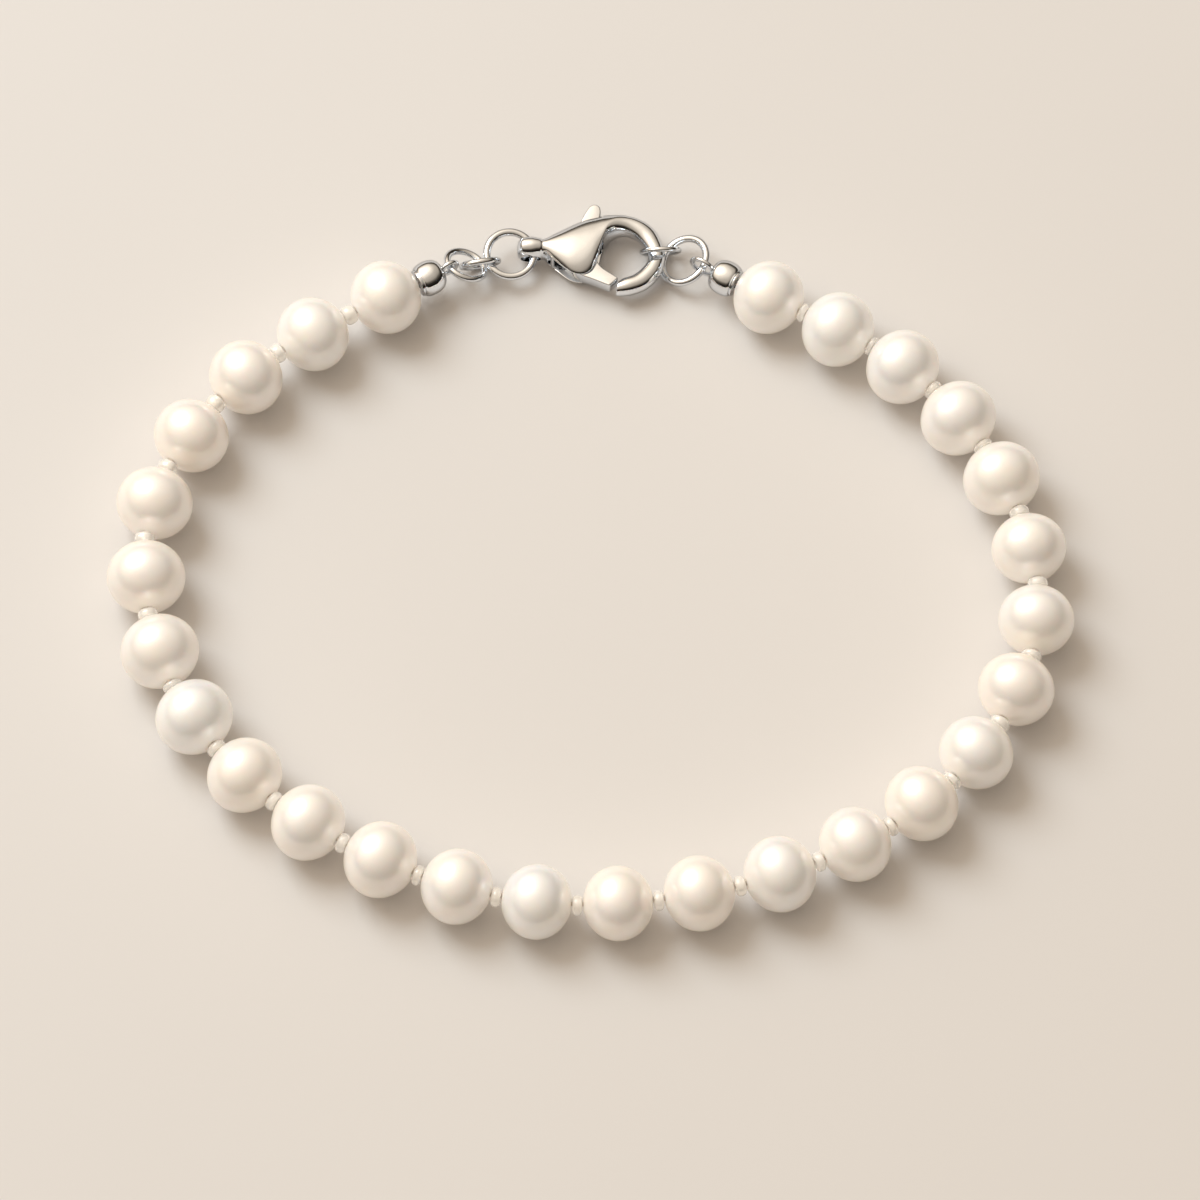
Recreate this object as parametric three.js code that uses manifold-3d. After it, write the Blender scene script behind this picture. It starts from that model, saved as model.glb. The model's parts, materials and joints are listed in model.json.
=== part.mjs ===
// A pearl bracelet lying closed on a table: 27 drilled pearls with a seed bead between
// each two, strung on one thread, and a lobster clasp with its jump rings.
// Millimetres, +Z up. The bracelet stands on Z = 0 with the origin at the middle of its box.
import * as THREE from "three";
import { mergeVertices } from "three/addons/utils/BufferGeometryUtils.js";
import Module from "manifold-3d";

const wasm = await Module();
wasm.setup();

// Clearance between pieces that touch
const clearance = 0.12;

// Pearls: the roundness is the length along the drilled hole over the diameter
const pearlDiameter = 5.5;
const pearlRoundness = 0.92;
const pearlBore = 0.9;
const pearlSides = 14;
const pearlBands = 7;
// One share of the diameter for each pearl, from the left of the clasp round to its right
const pearlShares = [
  0.99, 1.0, 1.01, 1.01, 1.01, 1.03, 1.03, 1.02, 1.0, 1.0, 1.0, 0.98, 0.97, 0.97,
  0.98, 0.99, 0.98, 0.99, 0.98, 1.0, 0.99, 0.98, 1.02, 1.02, 1.01, 1.01, 0.99,
];

// Thread and the seed beads on it
const threadDiameter = 0.3;
const threadSides = 6;
const threadStepsPerPearl = 3;
const seedDiameter = 1.5;
const seedSides = 10;
const seedEndShare = 0.62;
const seedRimShare = 0.4;

// The way round of the string, chosen by hand: pearl middles as [x, y], every second pearl.
// Its ends are brought to the two end beads.
const stringRoute = [
  [-14.8, 24.1],
  [-24.8, 17.5],
  [-31.1, 7.3],
  [-30.4, -4.5],
  [-24.2, -14.1],
  [-14.6, -20.6],
  [-3.7, -23.8],
  [7.6, -23.2],
  [18.5, -19.5],
  [27.1, -12.5],
  [31.6, -2.2],
  [29.4, 9.0],
  [22.5, 18.0],
  [12.9, 23.7],
];

// End beads, one at each end of the string
const endBeadDiameter = 2.55;
const endBeadLength = 2.1;
const endBeadMouth = 1.8;
const endBeadLip = 0.12;
const endBeadLipLength = 0.3;
const endBeadBore = 0.8;
const endBeadBoreDepth = 1.3;
const endBeadHeight = 2.35;
const endBeadSides = 16;
const threadEndDepth = 0.9;
// The bead's dome above its lip: each row is a share of the diameter and of the length
const endBeadDome = [
  [0.96, 0.3],
  [1.0, 0.48],
  [0.93, 0.68],
  [0.72, 0.88],
  [0.36, 1.0],
  [0.0, 1.0],
];

// Wire eyes of the end beads: radius of the wire's middle line and thickness of the wire
const leftEyeRadius = 0.62;
const rightEyeRadius = 0.86;
const eyeWire = 0.36;
const eyeSunk = 0.1;

// Links: radius of the wire's middle line and thickness of the wire
const ringSides = 16;
const ringWireSides = 6;
const claspRingRadius = 1.72;
const claspRingWire = 0.52;
const leftLinkRadius = 1.32;
const leftLinkWire = 0.46;
const leftRingRadius = 1.45;
const leftRingWire = 0.44;
const hookLinkRadius = 1.37;
const hookLinkWire = 0.35;
const rightRingRadius = 1.78;
const rightRingWire = 0.5;

// Clasp: overall sizes, then what is cut in it and stands in it
const claspLength = 10.6;
const claspWidth = 6.5;
const claspThickness = 2.8;
const claspLift = 0.05;
const claspSlot = 1.3;
const sectionPoints = 14;
const sectionSquareness = 2.3;
const eyeHoleWidth = 1.46;
const eyeHoleHeight = 1.24;
const pivotRadius = 0.4;
const neckPinRadius = 0.14;
const pivotHeightShare = 0.9;
const neckPinSunk = 0.15;
const postSides = 12;
const leverHubSides = 20;
const leverClearance = 0.1;
const leverBevel = 0.12;
const leverHubRadius = 1.02;

// The body from its tail to the tip of its hook. Each row is one cross section:
// the outer and the inner edge in plan, and the thickness there.
// x is a share of the clasp's length, y of its width, thick of its thickness.
// The linked row is the bar that the hook link goes round.
const claspSections = [
  { outer: [-0.082, 0.072], inner: [-0.082, -0.072], thick: 0.5 },
  { outer: [-0.056, 0.098], inner: [-0.056, -0.098], thick: 0.72 },
  { outer: [0.008, 0.104], inner: [0.008, -0.104], thick: 0.8 },
  { outer: [0.063, 0.094], inner: [0.063, -0.097], thick: 0.76 },
  { outer: [0.086, 0.088], inner: [0.09, -0.098], thick: 0.7 },
  { outer: [0.153, 0.163], inner: [0.153, -0.214], thick: 0.84 },
  { outer: [0.228, 0.234], inner: [0.215, -0.309], thick: 0.95 },
  { outer: [0.304, 0.305], inner: [0.277, -0.386], thick: 1.0 },
  { outer: [0.38, 0.363], inner: [0.34, -0.411], thick: 1.0 },
  { outer: [0.449, 0.395], inner: [0.394, -0.36], thick: 0.98 },
  { outer: [0.504, 0.414], inner: [0.435, -0.258], thick: 0.94 },
  { outer: [0.553, 0.42], inner: [0.459, -0.143], thick: 0.9 },
  { outer: [0.593, 0.42], inner: [0.48, -0.022], thick: 0.84 },
  { outer: [0.635, 0.418], inner: [0.518, 0.086], thick: 0.76 },
  { outer: [0.683, 0.4], inner: [0.573, 0.163], thick: 0.68 },
  { outer: [0.739, 0.369], inner: [0.635, 0.189], thick: 0.62 },
  { outer: [0.808, 0.305], inner: [0.697, 0.157], thick: 0.57 },
  { outer: [0.869, 0.195], inner: [0.752, 0.08], thick: 0.5 },
  { outer: [0.915, 0.0], inner: [0.802, -0.055], thick: 0.46, linked: true },
  { outer: [0.925, -0.135], inner: [0.8, -0.17], thick: 0.46 },
  { outer: [0.892, -0.322], inner: [0.751, -0.277], thick: 0.5 },
  { outer: [0.806, -0.488], inner: [0.696, -0.348], thick: 0.52 },
  { outer: [0.696, -0.568], inner: [0.634, -0.386], thick: 0.53 },
  { outer: [0.593, -0.583], inner: [0.583, -0.43], thick: 0.44 },
];

// The lever's outline beside its pivot, in the same shares of length and width.
// It runs from the hub's left over the thumb tab and down to the gate arm.
const leverOutline = [
  [-0.096, 0.02],
  [-0.02, 0.38],
  [0.012, 0.5],
  [0.042, 0.6],
  [0.072, 0.665],
  [0.1, 0.685],
  [0.122, 0.65],
  [0.128, 0.59],
  [0.123, 0.5],
  [0.088, 0.2],
  [0.094, -0.08],
  [0.207, -0.25],
  [0.174, -0.33],
  [0.07, -0.278],
  [0.0, -0.235],
  [-0.062, -0.17],
];
const pivotPlace = [0.353, -0.143];
const neckPinPlace = [0.15, -0.15];

// What the slot leaves whole, in the same shares: the tail, and the root of the hook
const slotStart = 0.113;
const slotBackEnd = 0.5;
const slotFrontEnd = 0.53;
const slotStep = 0.015;

// Where the clasp's tail eye stands before the whole is centred
const claspPlace = [-4.5, 28.4];

// Turns in degrees: the way from one link to the next in plan, then how the lying
// rings roll and the upright links lean
const claspRingHeading = 199;
const leftRingHeading = 194;
const leftEyeHeading = 205;
const leftLinkHeading = 10;
const hookLinkHeading = 3;
const rightRingHeading = -19;
const rightEyeHeading = -37;
const stringHeading = 30;
const claspRingRoll = 11;
const leftRingRoll = -16;
const rightRingRoll = 10;
const linkLean = 22;

// How far a wire lies above the clasp's middle plane, then how far a ring or link is moved
// along its heading from where its wire would meet its neighbour's middle line
const claspRingFarLift = 0.4;
const leftRingNearLift = -0.28;
const rightRingNearLift = -1.0;
const claspRingSlack = 0.15;
const leftLinkShift = 0.6;
const leftRingGap = 0.2;
const leftEyeShift = -0.12;
const hookLinkShift = 0.36;
const rightRingTuck = 0.2;
const rightEyeShift = -0.1;

const degree = Math.PI / 180;
const claspHeight = claspThickness / 2 + claspLift;

const finishes = {
  pearl: new THREE.MeshStandardMaterial({ color: 0xf1e8e0, roughness: 0.25, metalness: 0 }),
  glass: new THREE.MeshStandardMaterial({ color: 0xf3eee6, roughness: 0.15, metalness: 0 }),
  steel: new THREE.MeshStandardMaterial({ color: 0xc8c5c1, roughness: 0.12, metalness: 1 }),
};

// A closed geometry as a solid that can be joined and cut
function solidOf(geometry) {
  const bare = geometry.clone();
  bare.deleteAttribute("normal");
  bare.deleteAttribute("uv");
  const merged = mergeVertices(bare, 1e-4);
  return new wasm.Manifold(
    new wasm.Mesh({
      numProp: 3,
      vertProperties: merged.attributes.position.array,
      triVerts: new Uint32Array(merged.index.array),
    }),
  );
}

function geometryOf(solid) {
  const { vertProperties, triVerts } = solid.getMesh();
  return new THREE.BufferGeometry()
    .setAttribute("position", new THREE.BufferAttribute(vertProperties, 3))
    .setIndex(new THREE.BufferAttribute(triVerts, 1));
}

function joined(geometries) {
  return geometryOf(geometries.map(solidOf).reduce((whole, next) => whole.add(next)));
}

function cutBy(geometry, tools) {
  const whole = solidOf(geometry);
  return geometryOf(tools.map(solidOf).reduce((rest, tool) => rest.subtract(tool), whole));
}

function heading(degrees) {
  return new THREE.Vector3(Math.cos(degrees * degree), Math.sin(degrees * degree), 0);
}

// Turns the Y axis of a lathe to a direction, with the lathe's Z kept as high as it can be
function turnTo(direction) {
  const along = direction.clone().normalize();
  const side = new THREE.Vector3(0, 0, 1).cross(along).normalize().negate();
  const up = side.clone().cross(along);
  return new THREE.Matrix4().makeBasis(side, along, up);
}

// A lathe with one side facing straight down when its axis lies flat
function turned(profile, sides) {
  const points = profile.map(([radius, height]) => new THREE.Vector2(radius, height));
  return new THREE.LatheGeometry(points, sides, Math.PI / sides);
}

// A drilled pearl along Y. Its sides lie on the true round, so it rests on one of them.
function pearlGeometry(diameter, length) {
  const boreRadius = pearlBore / 2;
  const widest = diameter / 2 / Math.cos(Math.PI / pearlSides);
  const mouthAngle = Math.acos(boreRadius / widest);
  const middleBand = 1 / Math.cos(mouthAngle / pearlBands);
  const profile = [];
  for (let row = 0; row <= pearlBands; row += 1) {
    const angle = mouthAngle * ((2 * row) / pearlBands - 1);
    const inner = row === 0 || row === pearlBands;
    const radius = inner ? boreRadius : widest * middleBand * Math.cos(angle);
    profile.push([radius, (length / 2) * (Math.sin(angle) / Math.sin(mouthAngle))]);
  }
  profile.push(profile[0]);
  return turned(profile, pearlSides);
}

// A seed bead along Y: a short fat ring, closed on the axis because the thread fills its hole
function seedGeometry(length) {
  const radius = seedDiameter / 2;
  return turned(
    [
      [0, -length / 2],
      [radius * seedEndShare, -length / 2],
      [radius, (-length * seedRimShare) / 2],
      [radius, (length * seedRimShare) / 2],
      [radius * seedEndShare, length / 2],
      [0, length / 2],
    ],
    seedSides,
  );
}

// A wire ring round Z
function ringGeometry(radius, wire) {
  return new THREE.TorusGeometry(radius, wire / 2, ringWireSides, ringSides);
}

// A round metal bead along Y with a flat mouth at the bottom, a blind hole for the thread
// and a wire eye standing up at the top
function endBeadGeometry(eyeRadius) {
  const radius = endBeadDiameter / 2;
  const mouth = endBeadMouth / 2;
  const bore = endBeadBore / 2;
  const bottom = -endBeadLength / 2;
  const top = endBeadLength / 2;
  const profile = [
    [0, bottom + endBeadBoreDepth],
    [bore, bottom + endBeadBoreDepth],
    [bore, bottom],
    [mouth, bottom],
    [mouth + endBeadLip, bottom + endBeadLip],
    [mouth + endBeadLip, bottom + endBeadLipLength],
    ...endBeadDome.map(([wide, along]) => [radius * wide, bottom + endBeadLength * along]),
  ];
  const eye = ringGeometry(eyeRadius, eyeWire)
    .rotateY(Math.PI / 2)
    .translate(0, top + eyeRadius - eyeSunk, 0);
  return joined([turned(profile, endBeadSides), eye]);
}

// A closed skin over rings of points that all have the same number of points
function loft(rings) {
  const count = rings[0].length;
  const positions = rings.flat().flatMap((point) => point.toArray());
  const index = [];
  for (let ring = 0; ring + 1 < rings.length; ring += 1) {
    for (let i = 0; i < count; i += 1) {
      const next = (i + 1) % count;
      const [a, b] = [ring * count + i, ring * count + next];
      index.push(a, b, a + count, b, b + count, a + count);
    }
  }
  const last = (rings.length - 1) * count;
  for (let i = 1; i + 1 < count; i += 1) {
    index.push(0, i + 1, i);
    index.push(last, last + i, last + i + 1);
  }
  return new THREE.BufferGeometry()
    .setAttribute("position", new THREE.Float32BufferAttribute(positions, 3))
    .setIndex(index);
}

function claspPoint([x, y]) {
  return new THREE.Vector3(x * claspLength, y * claspWidth, 0);
}

// A sine or cosine, pushed outward so that the round section becomes a little square
function squared(value) {
  return Math.sign(value) * Math.abs(value) ** (2 / sectionSquareness);
}

// One rounded cross section of the clasp's body, upright between its two edges
function claspSection({ outer, inner, thick }) {
  const from = claspPoint(inner);
  const to = claspPoint(outer);
  const middle = from.clone().add(to).multiplyScalar(0.5);
  const reach = to.sub(middle);
  const height = (thick * claspThickness) / 2;
  const ring = [];
  for (let i = 0; i < sectionPoints; i += 1) {
    const angle = (2 * Math.PI * (i + 0.5)) / sectionPoints;
    const point = middle.clone().addScaledVector(reach, squared(Math.cos(angle)));
    ring.push(point.setZ(squared(Math.sin(angle)) * height));
  }
  return ring;
}

function plate(outline, thickness) {
  const shape = new THREE.Shape(outline.map(({ x, y }) => new THREE.Vector2(x, y)));
  const flat = { depth: thickness, bevelEnabled: false };
  return new THREE.ExtrudeGeometry(shape, flat).translate(0, 0, -thickness / 2);
}

// A cylinder along Z
function standing(radius, height, sides) {
  return new THREE.CylinderGeometry(radius, radius, height, sides).rotateX(Math.PI / 2);
}

function post(radius, height, place) {
  const { x, y } = claspPoint(place);
  return standing(radius, height, postSides).translate(x, y, 0);
}

function claspBodyGeometry() {
  const skin = loft(claspSections.map(claspSection));
  const corners = [
    [slotStart, -1],
    [slotFrontEnd, -1],
    [slotFrontEnd, slotStep],
    [slotBackEnd, slotStep],
    [slotBackEnd, 1],
    [slotStart, 1],
  ];
  const slot = plate(corners.map(claspPoint), claspSlot);
  const eyeHole = new THREE.CylinderGeometry(0.5, 0.5, claspWidth, postSides);
  eyeHole.scale(eyeHoleWidth, 1, eyeHoleHeight);
  const opened = cutBy(skin, [slot, eyeHole]);
  const pivot = post(pivotRadius, claspThickness * pivotHeightShare, pivotPlace);
  const neckPin = post(neckPinRadius, claspSlot + 2 * neckPinSunk, neckPinPlace);
  return joined([opened, pivot, neckPin]);
}

// The gate arm and thumb tab round their pivot, one plate that swings in the body's slot
function leverGeometry() {
  const outline = leverOutline.map(claspPoint).reverse();
  const shape = new THREE.Shape(outline.map(({ x, y }) => new THREE.Vector2(x, y)));
  const thickness = claspSlot - 2 * leverClearance;
  const rounded = {
    depth: thickness - 2 * leverBevel,
    bevelThickness: leverBevel,
    bevelSize: leverBevel,
    bevelOffset: -leverBevel,
    bevelSegments: 1,
  };
  const arm = new THREE.ExtrudeGeometry(shape, rounded).translate(0, 0, -rounded.depth / 2);
  const hub = standing(leverHubRadius, thickness, leverHubSides);
  const hole = standing(pivotRadius + leverClearance, claspThickness, leverHubSides);
  return cutBy(joined([arm, hub]), [hole]);
}

function piece(name, geometry, finish) {
  const mesh = new THREE.Mesh(geometry, finish);
  mesh.name = name;
  return mesh;
}

// A lying ring that climbs by a height from its near wire to its far one, along a heading,
// and is then rolled round the X axis
function flatRing(name, radius, wire, middle, towards, climb, roll) {
  const mesh = piece(name, ringGeometry(radius, wire), finishes.steel);
  const along = towards.clone().setZ(climb / (2 * radius)).normalize();
  const across = new THREE.Vector3(0, 0, 1).cross(along).normalize();
  const normal = along.clone().cross(across);
  mesh.quaternion.setFromRotationMatrix(new THREE.Matrix4().makeBasis(along, across, normal));
  mesh.quaternion.premultiply(
    new THREE.Quaternion().setFromAxisAngle(new THREE.Vector3(1, 0, 0), roll * degree),
  );
  mesh.position.copy(middle);
  return mesh;
}

// An upright link in the plane of a heading, leaning forward
function uprightLink(name, radius, wire, middle, towards) {
  const mesh = piece(name, ringGeometry(radius, wire), finishes.steel);
  const lean = linkLean * degree;
  const across = new THREE.Vector3(0, 0, 1).cross(towards).normalize();
  const up = new THREE.Vector3(0, 0, Math.cos(lean)).addScaledVector(across, -Math.sin(lean));
  const normal = towards.clone().cross(up);
  mesh.quaternion.setFromRotationMatrix(new THREE.Matrix4().makeBasis(towards, up, normal));
  mesh.position.copy(middle);
  return mesh;
}

// An end bead whose eye looks along a direction, with its middle on a point
function endBead(name, eyeRadius, middle, eyeDirection) {
  const mesh = piece(name, endBeadGeometry(eyeRadius), finishes.steel);
  mesh.quaternion.setFromRotationMatrix(turnTo(eyeDirection));
  mesh.position.copy(middle);
  return mesh;
}

const bracelet = new THREE.Group();

// Clasp
const clasp = new THREE.Group();
clasp.position.set(claspPlace[0], claspPlace[1], claspHeight);
const lever = piece("clasp_lever", leverGeometry(), finishes.steel);
lever.position.copy(claspPoint(pivotPlace));
clasp.add(piece("clasp_body", claspBodyGeometry(), finishes.steel), lever);
bracelet.add(clasp);

// Left side, link by link from the clasp's tail eye
const tailEye = clasp.position.clone();
const claspRingWay = heading(claspRingHeading);
const claspRingReach = claspRingRadius - claspRingSlack;
const claspRingMiddle = tailEye.clone().addScaledVector(claspRingWay, claspRingReach);
claspRingMiddle.z += claspRingFarLift / 2;
const claspRingFar = claspRingMiddle.clone().addScaledVector(claspRingWay, claspRingRadius);
const leftRingWay = heading(leftRingHeading);
const leftLinkMiddle = claspRingFar.clone().addScaledVector(leftRingWay, leftLinkShift);
leftLinkMiddle.z = tailEye.z + (claspRingFarLift + leftRingNearLift) / 2;
const leftRingReach = leftRingGap + leftRingRadius;
const leftRingMiddle = claspRingFar.clone().addScaledVector(leftRingWay, leftRingReach);
leftRingMiddle.z = (tailEye.z + leftRingNearLift + endBeadHeight) / 2;
const leftBeadWay = heading(180 + stringHeading);
const leftRingFar = leftRingMiddle.clone().addScaledVector(heading(leftEyeHeading), leftRingRadius);
const leftEyeMiddle = leftRingFar.clone().addScaledVector(leftBeadWay, leftEyeShift);
leftEyeMiddle.z = endBeadHeight;
const leftBeadReach = endBeadLength / 2 + leftEyeRadius - eyeSunk;
const leftBeadMiddle = leftEyeMiddle.clone().addScaledVector(leftBeadWay, leftBeadReach);
bracelet.add(
  flatRing("clasp_ring", claspRingRadius, claspRingWire, claspRingMiddle, claspRingWay,
    claspRingFarLift, claspRingRoll),
  uprightLink("left_link", leftLinkRadius, leftLinkWire, leftLinkMiddle, heading(leftLinkHeading)),
  flatRing("left_ring", leftRingRadius, leftRingWire, leftRingMiddle, leftRingWay,
    endBeadHeight - tailEye.z - leftRingNearLift, leftRingRoll),
  endBead("left_end_bead", leftEyeRadius, leftBeadMiddle, leftBeadWay.clone().negate()),
);

// Right side, link by link from the hook's bar
const hookSection = claspSections.find((section) => section.linked);
const hookOuter = claspPoint(hookSection.outer);
const hookInner = claspPoint(hookSection.inner);
const hookBar = hookOuter.clone().add(hookInner).multiplyScalar(0.5).add(clasp.position);
const hookBarWidth = hookOuter.distanceTo(hookInner);
const rightRingWay = heading(rightRingHeading);
const hookLinkWay = heading(hookLinkHeading);
const hookLinkMiddle = hookBar.clone().addScaledVector(hookLinkWay, hookLinkShift);
const rightRingReach = hookBarWidth / 2 - rightRingTuck + rightRingRadius;
const rightRingMiddle = hookBar.clone().addScaledVector(rightRingWay, rightRingReach);
rightRingMiddle.z = (hookBar.z + rightRingNearLift + endBeadHeight) / 2;
const rightBeadWay = heading(-stringHeading);
const rightRingFar = rightRingMiddle.clone().addScaledVector(heading(rightEyeHeading), rightRingRadius);
const rightEyeMiddle = rightRingFar.clone().addScaledVector(rightBeadWay, rightEyeShift);
rightEyeMiddle.z = endBeadHeight;
const rightBeadReach = endBeadLength / 2 + rightEyeRadius - eyeSunk;
const rightBeadMiddle = rightEyeMiddle.clone().addScaledVector(rightBeadWay, rightBeadReach);
bracelet.add(
  uprightLink("hook_link", hookLinkRadius, hookLinkWire, hookLinkMiddle, hookLinkWay),
  flatRing("right_ring", rightRingRadius, rightRingWire, rightRingMiddle, rightRingWay,
    endBeadHeight - hookBar.z - rightRingNearLift, rightRingRoll),
  endBead("right_end_bead", rightEyeRadius, rightBeadMiddle, rightBeadWay.clone().negate()),
);

// Pearls: every second one on a point of the route, the others halfway between
const diameters = pearlShares.map((share) => share * pearlDiameter);
const lengths = diameters.map((diameter) => diameter * pearlRoundness);
const pearlCount = diameters.length;
const firstReach = endBeadLength / 2 + clearance + lengths[0] / 2;
const lastReach = endBeadLength / 2 + clearance + lengths[pearlCount - 1] / 2;
const stringStart = leftBeadMiddle.clone().addScaledVector(leftBeadWay, firstReach);
const stringEnd = rightBeadMiddle.clone().addScaledVector(rightBeadWay, lastReach);

// The hand-chosen route, with its ends brought to two points and the rest carried along
function fittedRoute(start, end) {
  const drawn = stringRoute.map(([x, y]) => new THREE.Vector3(x, y, 0));
  const startShift = start.clone().sub(drawn[0]).setZ(0);
  const endShift = end.clone().sub(drawn[drawn.length - 1]).setZ(0);
  const points = drawn.map((point, i) => {
    return point.add(startShift.clone().lerp(endShift, i / (drawn.length - 1)));
  });
  return new THREE.CatmullRomCurve3(points, false, "centripetal");
}

const route = fittedRoute(stringStart, stringEnd);
const pearlMiddles = diameters.map((diameter, i) => {
  return route.getPoint(i / (pearlCount - 1)).setZ(diameter / 2);
});
const stops = [leftBeadMiddle, ...pearlMiddles, rightBeadMiddle];
const pearlWays = pearlMiddles.map((_, i) => stops[i + 2].clone().sub(stops[i]).setZ(0).normalize());
diameters.forEach((diameter, i) => {
  const name = `pearl_${String(i + 1).padStart(2, "0")}`;
  const pearl = piece(name, pearlGeometry(diameter, lengths[i]), finishes.pearl);
  pearl.quaternion.setFromRotationMatrix(turnTo(pearlWays[i]));
  pearl.position.copy(pearlMiddles[i]);
  bracelet.add(pearl);
});

// The seed bead that fills the room between one pearl and the next
function seedBetween(i) {
  const from = pearlMiddles[i].clone().addScaledVector(pearlWays[i], lengths[i] / 2);
  const to = pearlMiddles[i + 1].clone().addScaledVector(pearlWays[i + 1], -lengths[i + 1] / 2);
  const seed = seedGeometry(from.distanceTo(to) - 2 * clearance);
  seed.applyMatrix4(turnTo(pearlWays[i].clone().add(pearlWays[i + 1])));
  const middle = from.add(to).multiplyScalar(0.5);
  return seed.translate(middle.x, middle.y, middle.z);
}

// Thread from inside one end bead, through every pearl, to inside the other, with its seed beads
function stringGeometry() {
  const inside = endBeadLength / 2 - threadEndDepth;
  const first = leftBeadMiddle.clone().addScaledVector(leftBeadWay, inside);
  const last = rightBeadMiddle.clone().addScaledVector(rightBeadWay, inside);
  const way = new THREE.CatmullRomCurve3([first, ...pearlMiddles, last], false, "centripetal");
  const corners = Array.from({ length: threadSides }, (_, i) => {
    const angle = (2 * Math.PI * i) / threadSides;
    return new THREE.Vector2(Math.cos(angle), Math.sin(angle)).multiplyScalar(threadDiameter / 2);
  });
  const thread = new THREE.ExtrudeGeometry(new THREE.Shape(corners), {
    steps: threadStepsPerPearl * (pearlCount + 1),
    bevelEnabled: false,
    extrudePath: way,
  });
  const seeds = pearlMiddles.slice(1).map((_, i) => seedBetween(i));
  return joined([thread, ...seeds]);
}
bracelet.add(piece("thread_and_seed_beads", stringGeometry(), finishes.glass));

// The origin goes to the middle of the bracelet's box, on the table
bracelet.updateMatrixWorld(true);
const box = new THREE.Box3().setFromObject(bracelet, true);
bracelet.position.set(-(box.min.x + box.max.x) / 2, -(box.min.y + box.max.y) / 2, -box.min.z);

export default bracelet;
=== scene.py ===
"""A pearl bracelet, clasped shut and lying flat on a pale table, in soft light from the upper left.

Lengths in the size fields are in millimetres. Meshes are in metres, in the frame of the solid model.
"""

import json
import logging
import math
from dataclasses import dataclass
from enum import Enum
from typing import Any, Iterable, Sequence

import bmesh
import bpy
import numpy as np
from mathutils import Matrix, Vector


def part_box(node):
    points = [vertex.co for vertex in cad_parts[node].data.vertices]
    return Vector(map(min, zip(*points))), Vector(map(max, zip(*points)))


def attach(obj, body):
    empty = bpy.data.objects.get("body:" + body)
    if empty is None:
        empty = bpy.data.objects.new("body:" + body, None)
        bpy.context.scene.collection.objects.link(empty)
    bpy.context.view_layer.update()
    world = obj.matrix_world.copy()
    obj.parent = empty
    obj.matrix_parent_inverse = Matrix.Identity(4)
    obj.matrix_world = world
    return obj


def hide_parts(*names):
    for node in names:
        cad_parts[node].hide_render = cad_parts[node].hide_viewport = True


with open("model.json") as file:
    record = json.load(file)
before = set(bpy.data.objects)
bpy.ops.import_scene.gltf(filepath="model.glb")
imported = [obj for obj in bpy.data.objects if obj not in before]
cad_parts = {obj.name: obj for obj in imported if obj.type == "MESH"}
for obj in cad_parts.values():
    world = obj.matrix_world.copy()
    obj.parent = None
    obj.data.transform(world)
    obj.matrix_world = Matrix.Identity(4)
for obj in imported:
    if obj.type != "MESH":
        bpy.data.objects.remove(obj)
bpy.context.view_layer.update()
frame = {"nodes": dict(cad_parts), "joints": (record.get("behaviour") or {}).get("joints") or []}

log = logging.getLogger("bracelet")
MM = 0.001
UP = Vector((0.0, 0.0, 1.0))
# Nearly all of a noise pattern lies between these
CALM = (0.1, 0.9)
# The share of a ring that a cut takes where its ends meet
CLOSED_CUT = 0.0004


class Body(Enum):
    """What a piece moves with."""

    BRACELET = "bracelet"
    LEVER = "lever"


class Slot(Enum):
    """The finish that a piece takes."""

    PEARL = "pearl"
    SEED_BEAD = "seed_bead"
    STEEL = "steel"


class Joining(Enum):
    """What a second mesh does to the first."""

    ADDS = "UNION"
    CUTS = "DIFFERENCE"


class Signal:
    """A node's output that can be used in sums."""

    def __init__(self, sheet: "NodeSheet", socket: bpy.types.NodeSocket) -> None:
        """Keeps the socket and the sheet that it is on."""
        self.sheet = sheet
        self.socket = socket

    def _math(self, operation: str, first: Any, second: Any) -> "Signal":
        """Adds one Math node on two signals or numbers, and gives its result."""
        values = {0: first, 1: second}
        return self.sheet.signal("ShaderNodeMath", {"operation": operation}, values)

    def __add__(self, other: Any) -> "Signal":
        """The sum."""
        return self._math("ADD", self, other)

    def __sub__(self, other: Any) -> "Signal":
        """The difference."""
        return self._math("SUBTRACT", self, other)

    def __mul__(self, other: Any) -> "Signal":
        """The product."""
        return self._math("MULTIPLY", self, other)

    def __rsub__(self, other: Any) -> "Signal":
        """A number less this signal."""
        return self._math("SUBTRACT", other, self)

    __radd__ = __add__
    __rmul__ = __mul__


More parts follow.
